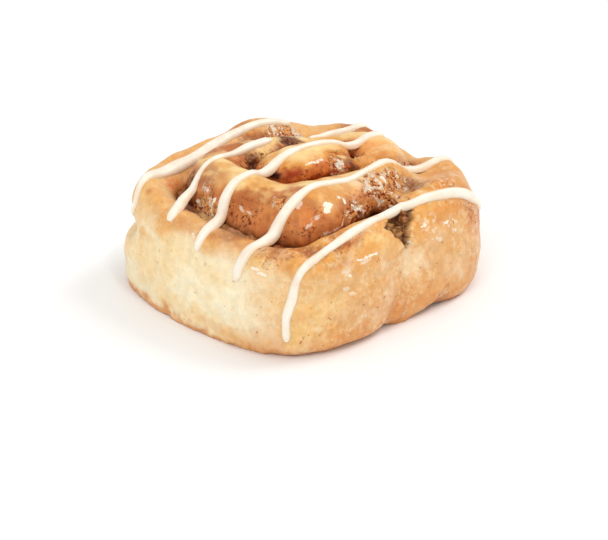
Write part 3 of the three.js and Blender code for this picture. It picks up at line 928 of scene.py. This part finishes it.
def make_dough():
    body = strip_rings()[1]
    bulges = [bulge_rings(*row) for row in BULGES]
    points, faces = joined([body, seal_rings(), heart_rings(), *bulges])
    piece = fused("dough_looks", points, faces, VOXEL)
    mesh = piece.data
    points = read_vertices(mesh)
    normals = read_vertices(mesh, "normal")
    place, side, is_wall = strip_coordinates(points)
    masks = dough_masks(points, place, side, is_wall)
    rough = 0.3 * masks["coarse"] + 0.16 * masks["medium"] + 0.05 * masks["fine"]
    broken = np.maximum(np.maximum(masks["torn"], masks["syrupy"]), masks["notch"])
    crumb_rise, cracks = crumbs(points, broken)
    masks["cracks"] = cracks * broken
    rough += broken * (0.25 * masks["fine"] + crumb_rise)
    rough -= wall_hollows(points) + NOTCH_DEPTH * masks["notch"]
    points += normals * rough[:, None]
    points[:, 2] = np.where(points[:, 2] < 0.3, 0, points[:, 2])
    paint(mesh, "tint", dough_tint(points, masks))
    paint(mesh, "lengthwise", place * EIGHTH)
    paint(mesh, "torn", np.maximum(masks["torn"], masks["notch"]))
    paint(mesh, "syrupy", masks["syrupy"])
    paint(mesh, "glaze_and_glints", masks["glaze_and_glints"])
    tree = mesh_tree(mesh, points)
    # Painted highlights: the glints, and the hazes that are partly whitish glaze
    for name, strokes in (("glint", GLINTS), ("haze_and_highlight", GLAZE_HAZES_AND_HIGHLIGHTS)):
        paint(mesh, name, stroke_field(points, normals, stroke_places(tree, strokes)))
    stained = (masks["second"] | masks["core"]) * (1 - smooth(0.55, 1.0, masks["height"]))
    grit = np.maximum(stained + 0.5 * masks["slope"], 0.6 * masks["speckled"])
    paint(mesh, "grit", np.clip(grit, 0, 1))
    outside = (1 - masks["second"]) * (1 - masks["core"]) * (1 - masks["slope"]) * (1 - broken)
    paint(mesh, "outside", outside * (0.45 + 0.55 * masks["towards_x"]))
    paint(mesh, "shine", np.clip(0.3 + 0.5 * stained + 0.4 * masks["towards_x"], 0, 1))
    finish_mesh(piece, points)
    return piece


def finish_mesh(piece, points):
    """Puts points in millimetres of the tables into the part's frame in metres."""
    write_vertices(piece.data, (points + (*PLAN_SHIFT, 0)) * MM)


def mesh_tree(mesh, points):
    """A tree for rays against a mesh with its points in millimetres of the tables."""
    faces = [tuple(face.vertices) for face in mesh.polygons]
    return BVHTree.FromPolygons(points.tolist(), faces)


def ray(tree, start, direction):
    return tree.ray_cast(Vector(start), Vector(direction))[0]


def icing_rays():
    """Rays on to the roll in a plane across it, from the foot of one wall over the top to the other."""
    rays = []
    for height in np.arange(2.5, PIVOT_HEIGHT, 0.5):
        rays.append(((-60, height), (1, 0)))
    for angle in np.arange(0, 90, 1.5):
        c, s = math.cos(math.radians(angle)), math.sin(math.radians(angle))
        rays.append(((-PIVOT - 50 * c, PIVOT_HEIGHT + 50 * s), (c, -s)))
    for y in np.arange(-PIVOT, 0, 0.5):
        rays.append(((y, 60), (0, -1)))
    mirrored = [((-start[0], start[1]), (-to[0], to[1])) for start, to in reversed(rays)]
    return rays + mirrored


def icing_path(tree, line):
    """The route of one icing line over the dough: it hangs straight across narrow dips."""
    across, _, start, stop, end0, end1, sag = line
    route = []
    for (y, z), (dy, dz) in icing_rays():
        hit = ray(tree, (across[3], y, z), (0, dy, dz))
        x = np.interp(hit.y if hit else y, ICING_PLACES, across)
        hit = ray(tree, (x, y, z), (0, dy, dz))
        if hit and hit.z > (end0 if hit.y < 0 else end1) and start < hit.y < stop:
            route.append(tuple(hit))
    route = np.array(route)
    for _ in range(60):
        y, z = route[:, 1], route[:, 2]
        mean = (np.roll(z, 4) + np.roll(z, -4)) / 2 - sag * 0.25
        inside = (np.arange(len(z)) > 3) & (np.arange(len(z)) < len(z) - 4) & (abs(y) < 38)
        route[:, 2] = np.where(inside, np.maximum(z, mean), z)
    return resampled(route, ICING_STEP)


def resampled(route, step):
    lengths = np.concatenate([[0], np.cumsum(np.linalg.norm(np.diff(route, axis=0), axis=1))])
    at = np.linspace(0, lengths[-1], max(3, int(lengths[-1] / step)))
    return np.stack([np.interp(at, lengths, route[:, k]) for k in range(3)], -1)


def averaged(rows, reach):
    padded = np.pad(rows, ((reach, reach), (0, 0)), "edge")
    return sum(padded[k:k + len(rows)] for k in range(2 * reach + 1)) / (2 * reach + 1)


def unit(rows):
    return rows / np.linalg.norm(rows, axis=-1, keepdims=True)


def icing_rings(tree, line, seed):
    route = averaged(icing_path(tree, line), 2)
    tangent = unit(np.gradient(route, axis=0))
    nearest = [tree.find_nearest(Vector(p)) for p in route]
    found = np.array([near[1] for near in nearest])
    # Where the icing hangs over a dip it keeps the tilt that it has on either side
    rests = np.array([[0 if near[3] > 0.6 else 1] for near in nearest])
    tilt = unit(averaged(found * rests, 14) + (0, 0, 0.01))
    normal = unit(averaged(np.where(rests, found, tilt), 9))
    side = unit(np.cross(tangent, normal))
    normal = np.cross(side, tangent)
    length = np.arange(len(route)) * ICING_STEP
    from_end = np.minimum(length, length[-1] - length)
    half = np.interp(route[:, 1], ICING_PLACES, line[1])
    taper = np.sqrt(np.clip(1 - (1 - np.clip(from_end / half, 0, 1)) ** 2, 0.02, 1))
    width = half * taper * (1 + 0.14 * noise_field(route, 7, seed) + 0.08 * noise_field(route, 2.6, seed))
    height = (ICING_THICKNESS + ICING_FULLNESS * half) * taper
    rings = []
    across = np.sin(np.linspace(-1, 1, ICING_ACROSS) * math.pi / 2)
    for i, point in enumerate(route):
        top, under = [], []
        for s in across:
            level = point + side[i] * s * width[i]
            above = Vector(level + normal[i] * ICING_OVER)
            hit = tree.ray_cast(above, Vector(-normal[i]), ICING_OVER + ICING_DRAPE)[0]
            base = np.array(hit) if hit else level - normal[i] * ICING_DRAPE * abs(s) ** 3
            lift = max(0, (point - base) @ normal[i]) * 0.7 * (1 - s * s)
            thick = height[i] * (1 - abs(s) ** 2.2) ** 0.6
            top.append(base + normal[i] * (thick + lift))
            under.append(base - normal[i] * ICING_UNDER)
        rings.append(top + under[::-1])
    rings = np.array(rings)
    return averaged(rings.reshape(len(rings), -1), 3).reshape(rings.shape)


def make_icing(dough):
    points = read_vertices(dough.data) / MM - (*PLAN_SHIFT, 0)
    tree = mesh_tree(dough.data, points)
    bodies = [icing_rings(tree, line, seed) for seed, line in enumerate(ICING_LINES)]
    points, faces = joined(bodies)
    piece = mesh_object("icing_lines", points, faces)
    edge = smooth(0.6, 1, abs(np.sin(np.linspace(-1, 1, ICING_ACROSS) * math.pi / 2)))
    ring = np.concatenate([edge, np.ones(ICING_ACROSS)])
    paint(piece.data, "thin", np.tile(ring, len(points) // len(ring)))
    finish_mesh(piece, points)
    return piece


def make_filling():
    place = np.linspace(0.3, FILLING_END - 0.3, FILLING_STATIONS)
    middle = filling_point(place)
    floor = groove_height(place) - FILLING_SINK * smooth(0.9, 0.5, place)
    across = filling_point(place, 1) - middle
    top = np.linspace(-1, 1, 9)
    rings = []
    for s in top:
        plan = middle + across * s * FILLING_HALF_WIDTH
        z = floor + FILLING_RISE * math.sqrt(1 - s * s) - 0.6
        rings.append(np.column_stack([plan, z]))
    for s in (1, -1):
        rings.append(np.column_stack([middle + across * s * 0.6, floor - FILLING_DEPTH]))
    rings = np.stack(rings, 1)[:, ::-1]
    points, faces = joined([rings])
    piece = mesh_object("cinnamon_filling_looks", points, faces)
    rough = noise_field(points, 2.2, 11)
    tint = ramped(0.5 + 0.5 * rough, ((0.1, UMBER), (0.7, CINNAMON)))
    paint(piece.data, "tint", patched(points, tint))
    bumps = 0.5 * rough + 0.3 * noise_field(points, 1.1, 12)
    finish_mesh(piece, points + bumps[:, None] * (0, 0, 1))
    return piece


def new_material(name):
    material = bpy.data.materials.new(name)
    material.use_nodes = True
    return material, material.node_tree, material.node_tree.nodes["Principled BSDF"]


def add(tree, kind, inputs=(), **settings):
    """Adds a node. Its inputs are values or the outputs of other nodes."""
    made = tree.nodes.new("ShaderNode" + kind)
    for name, value in settings.items():
        setattr(made, name, value)
    for socket, value in dict(inputs).items():
        if isinstance(value, bpy.types.NodeSocket):
            tree.links.new(value, made.inputs[socket])
        else:
            made.inputs[socket].default_value = value
    return made


def grain(tree, size, detail=3.0, roughness=0.55):
    """Noise from 0 to 1 with bumps about size millimetres across."""
    place = add(tree, "TexCoord").outputs["Object"]
    settings = {"Vector": place, "Scale": 1000 / size, "Detail": detail, "Roughness": roughness}
    return add(tree, "TexNoise", settings).outputs["Fac"]


def noise_along(tree, size, stretch):
    """Noise in streaks that run down the strip's sides, about size millimetres wide."""
    place = add(tree, "SeparateXYZ", {0: add(tree, "TexCoord").outputs["Object"]})
    down = times(tree, place.outputs["Z"], 1000 / (size * stretch))
    along_strip = times(tree, painted(tree, "lengthwise"), 1 / size)
    where = add(tree, "CombineXYZ", {0: along_strip, 1: down}).outputs[0]
    return add(tree, "TexNoise", {"Vector": where, "Scale": 1.0, "Detail": 3.0}).outputs["Fac"]


def ramp(tree, value, low, high, to_low=0.0, to_high=1.0):
    inputs = {"Value": value, "From Min": low, "From Max": high, "To Min": to_low, "To Max": to_high}
    return add(tree, "MapRange", inputs, interpolation_type="SMOOTHSTEP").outputs["Result"]


def plus(tree, a, b):
    return add(tree, "Math", {0: a, 1: b}).outputs[0]


def times(tree, a, b):
    return add(tree, "Math", {0: a, 1: b}, operation="MULTIPLY").outputs[0]


def mixed(tree, share, a, b, how="MIX"):
    """Two colours mixed by a share."""
    made = add(tree, "Mix", {0: share, 6: a, 7: b}, data_type="RGBA", blend_type=how)
    return made.outputs[2]


def painted(tree, name, output="Fac"):
    return add(tree, "Attribute", attribute_name=name).outputs[output]


def rgba(colour):
    return (*linear(colour), 1)


def bump(tree, height, distance, strength=1.0, normal=None):
    inputs = {"Height": height, "Distance": distance * MM, "Strength": strength}
    if normal:
        inputs["Normal"] = normal
    return add(tree, "Bump", inputs).outputs["Normal"]


def link(tree, value, shader, socket):
    tree.links.new(value, shader.inputs[socket])


def set_values(shader, values):
    for socket, value in values.items():
        shader.inputs[socket].default_value = value


def tinted(tree, share, colour, tint):
    return mixed(tree, share, colour, tint, "MULTIPLY")


def shaded(tree, colour, shade):
    """A colour made lighter or darker by a number."""
    grey = add(tree, "CombineXYZ", {0: shade, 1: shade, 2: shade}).outputs[0]
    return mixed(tree, 1.0, colour, grey, "MULTIPLY")


def curled(tree, wave, half):
    """Thin curved lines where a noise passes its middle value."""
    away = add(tree, "Math", {0: plus(tree, wave, -0.5)}, operation="ABSOLUTE").outputs[0]
    return ramp(tree, away, half, half * 0.7)


def dough_material():
    material, tree, shader = new_material("baked_dough")
    names = ("grit", "torn", "syrupy", "glaze_and_glints", "outside")
    grit, torn, syrupy, glaze_and_glints, outside = (painted(tree, name) for name in names)
    broad = noise_along(tree, 2.2, 2)
    streaks = noise_along(tree, 1.1, 9)
    pores = grain(tree, 1.3, 4, 0.6)
    drops = grain(tree, 1.5, 4, 0.6)
    torn_edge = ramp(tree, grain(tree, 1.0, 3), 0.3, 0.7, -0.14, 0.14)
    colour = painted(tree, "tint", "Color")
    colour = shaded(tree, colour, ramp(tree, grain(tree, 2.6), 0.3, 0.7, 0.94, 1.05))
    shade = times(tree, grit, ramp(tree, streaks, 0.35, 0.65, -0.16, 0.14))
    colour = shaded(tree, colour, plus(tree, shade, 1.0))
    uneven = times(tree, outside, ramp(tree, grain(tree, 9, 3), 0.4, 0.6, 0.25, 1))
    for size in (1.5, 3.4):
        spots = grain(tree, size, 5, 0.7)
        browner = times(tree, uneven, ramp(tree, spots, 0.5, 0.62, 0, 0.6))
        colour = tinted(tree, browner, colour, BROWNER)
        paler = times(tree, uneven, ramp(tree, spots, 0.5, 0.38, 0, 0.38))
        colour = mixed(tree, paler, colour, rgba(MOTTLE))
    clouds = times(tree, ramp(tree, grain(tree, 8, 5, 0.62), 0.48, 0.64), outside)
    colour = tinted(tree, clouds, colour, CLOUDY)
    pale = times(tree, ramp(tree, grain(tree, 6, 5, 0.62), 0.54, 0.66, 0, 0.45), outside)
    colour = mixed(tree, times(tree, pale, outside), colour, rgba(PALE))
    freckles = ramp(tree, grain(tree, 1.1, 4, 0.7), 0.5, 0.68, 0, 0.55)
    colour = tinted(tree, freckles, colour, FRECKLED)
    warm = times(tree, ramp(tree, grain(tree, 3.4, 5, 0.65), 0.42, 0.6, 0.2, 0.9), grit)
    colour = tinted(tree, warm, colour, WARMER)
    specks = times(tree, ramp(tree, grain(tree, 1.0, 4, 0.7), 0.53, 0.6), grit)
    specks = times(tree, specks, ramp(tree, grain(tree, 6, 3), 0.44, 0.56))
    colour = mixed(tree, specks, colour, rgba(SPECK))
    dots = times(tree, ramp(tree, grain(tree, 1.7, 2), 0.68, 0.72, 0, 0.8), outside)
    colour = mixed(tree, dots, colour, rgba(BROWNED))
    broken = mixed(tree, ramp(tree, pores, 0.4, 0.6), rgba(DARK_CRUMB), rgba(GREY_BROWN))
    colour = mixed(tree, times(tree, torn, 0.6), colour, broken)
    soaked = mixed(tree, ramp(tree, pores, 0.43, 0.51), rgba(RUST), rgba(APRICOT))
    colour = mixed(tree, times(tree, syrupy, 0.85), colour, soaked)
    # Whitish glaze and painted glints, broken into spots, where the smears lie
    glaze_and_glint_spots = times(tree, glaze_and_glints, ramp(tree, drops, 0.5, 0.62))
    colour = mixed(tree, times(tree, glaze_and_glint_spots, 0.5), colour, rgba(GLAZE_AND_HIGHLIGHT))
    # Painted soft highlights along the hazes, partly thin whitish glaze
    haze_and_highlight_field = plus(tree, painted(tree, "haze_and_highlight"), torn_edge)
    colour = mixed(tree, ramp(tree, haze_and_highlight_field, 0.42, 0.66, 0, 0.55), colour, rgba(GLAZE_AND_HIGHLIGHT))
    # Painted highlights: thin curved whitish lines on the syrupy crumb, for light on the wet crumb
    painted_curl_highlights = times(tree, curled(tree, broad, 0.055), ramp(tree, grain(tree, 2.4), 0.49, 0.52))
    colour = mixed(tree, times(tree, painted_curl_highlights, syrupy), colour, rgba(SYRUP_HIGHLIGHT))
    # Painted highlights along the glints
    edge = plus(tree, painted(tree, "glint"), torn_edge)
    colour = mixed(tree, ramp(tree, edge, 0.47, 0.56), colour, rgba(GLAZE_AND_HIGHLIGHT))
    link(tree, colour, shader, "Base Color")
    dull = ramp(tree, painted(tree, "shine"), 0, 1, 0.55, 0.3)
    link(tree, times(tree, dull, ramp(tree, syrupy, 0, 1, 1, 0.35)), shader, "Roughness")
    set_values(shader, {
        "Subsurface Weight": 0.12, "Subsurface Radius": (1.0, 0.5, 0.25), "Subsurface Scale": 0.002,
        "Specular IOR Level": 0.17, "Coat Weight": 0.1, "Coat Roughness": 0.1,
    })
    relief = bump(tree, grain(tree, 1.6, 4, 0.65), 0.4)
    relief = bump(tree, times(tree, pores, plus(tree, torn, syrupy)), 1.2, normal=relief)
    link(tree, bump(tree, times(tree, streaks, grit), 0.4, normal=relief), shader, "Normal")
    return material


def icing_material():
    material, tree, shader = new_material("icing")
    colour = mixed(tree, ramp(tree, grain(tree, 5.0), 0.35, 0.7), rgba(ICING), rgba(ICING_SHADE))
    thin = times(tree, painted(tree, "thin"), ramp(tree, grain(tree, 3), 0.3, 0.6, 0.3, 0.9))
    colour = mixed(tree, thin, colour, rgba(ICING_EDGE))
    link(tree, colour, shader, "Base Color")
    set_values(shader, {
        "Roughness": 0.34, "Subsurface Weight": 0.3, "Subsurface Radius": (1.0, 0.7, 0.5),
        "Subsurface Scale": 0.0015,
    })
    link(tree, bump(tree, grain(tree, 2.5, 2), 0.12), shader, "Normal")
    return material


def filling_material():
    material, tree, shader = new_material("cinnamon_filling")
    colour = painted(tree, "tint", "Color")
    colour = shaded(tree, colour, ramp(tree, grain(tree, 1.0, 4), 0.35, 0.65, 0.6, 1.15))
    link(tree, colour, shader, "Base Color")
    link(tree, ramp(tree, grain(tree, 2.0), 0.4, 0.6, 0.18, 0.5), shader, "Roughness")
    link(tree, bump(tree, grain(tree, 0.8, 4), 0.6), shader, "Normal")
    return material


def view_axes():
    """The directions right, up and back of the camera."""
    bearing, height = math.radians(VIEW_BEARING), math.radians(VIEW_HEIGHT)
    level = math.cos(height)
    back = Vector((math.sin(bearing) * level, -math.cos(bearing) * level, math.sin(height)))
    right = Vector((math.cos(bearing), math.sin(bearing), 0))
    return right, back.cross(right), back


def view_ray(pixel):
    """The direction from the camera through a pixel of the picture."""
    right, up, back = view_axes()
    focal = LENS / SENSOR * IMAGE_WIDTH
    aside = (pixel[0] - IMAGE_WIDTH / 2) / focal
    above = (IMAGE_HEIGHT / 2 - pixel[1]) / focal
    return -back + right * aside + up * above


def eye_place():
    """Where the camera stands, in millimetres of the tables."""
    return -VIEW_DISTANCE * view_ray(CENTRE_PIXEL)


def make_camera():
    data = bpy.data.cameras.new("camera")
    data.lens = LENS
    data.sensor_width = SENSOR
    data.sensor_fit = "HORIZONTAL"
    data.clip_start = 0.01
    camera = added("camera", data)
    camera.location = (eye_place() + Vector((*PLAN_SHIFT, 0))) * MM
    camera.rotation_euler = view_axes()[2].to_track_quat("Z", "Y").to_euler()
    bpy.context.scene.camera = camera


def make_light(name, aside, towards, up, size, power):
    right = view_axes()[0]
    front = Vector((right.y, -right.x, 0))
    data = bpy.data.lights.new(name, "AREA")
    data.size = size
    data.energy = power
    light = added(name, data)
    light.location = right * aside + front * towards + Vector((0, 0, up))
    look = Vector((0, 0, 0.02)) - light.location
    light.rotation_euler = look.to_track_quat("-Z", "Y").to_euler()


def make_floor():
    reach = FLOOR_REACH
    corners = [(-reach, -reach, 0), (reach, -reach, 0), (reach, reach, 0), (-reach, reach, 0)]
    floor = mesh_object("floor", corners, [(0, 1, 2, 3)])
    material, tree, shader = new_material("floor")
    set_values(shader, {"Base Color": FLOOR_WHITE, "Roughness": 0.8})
    floor.data.materials.append(material)


def make_world():
    world = bpy.data.worlds.new("studio")
    bpy.context.scene.world = world
    world.use_nodes = True
    sky = world.node_tree.nodes["Background"]
    sky.inputs["Color"].default_value = (1, 1, 1, 1)
    sky.inputs["Strength"].default_value = SKY
    bpy.context.scene.view_settings.view_transform = "Standard"


def dressed(piece, material, replaced=None):
    piece.data.materials.append(material)
    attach(piece, "root")
    if replaced:
        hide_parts(replaced)


make_camera()
make_world()
for row in LIGHTS:
    make_light(*row)
make_floor()
dough = make_dough()
dressed(dough, dough_material(), "dough")
dressed(make_icing(dough), icing_material(), "dough")
dressed(make_filling(), filling_material(), "cinnamon_filling")
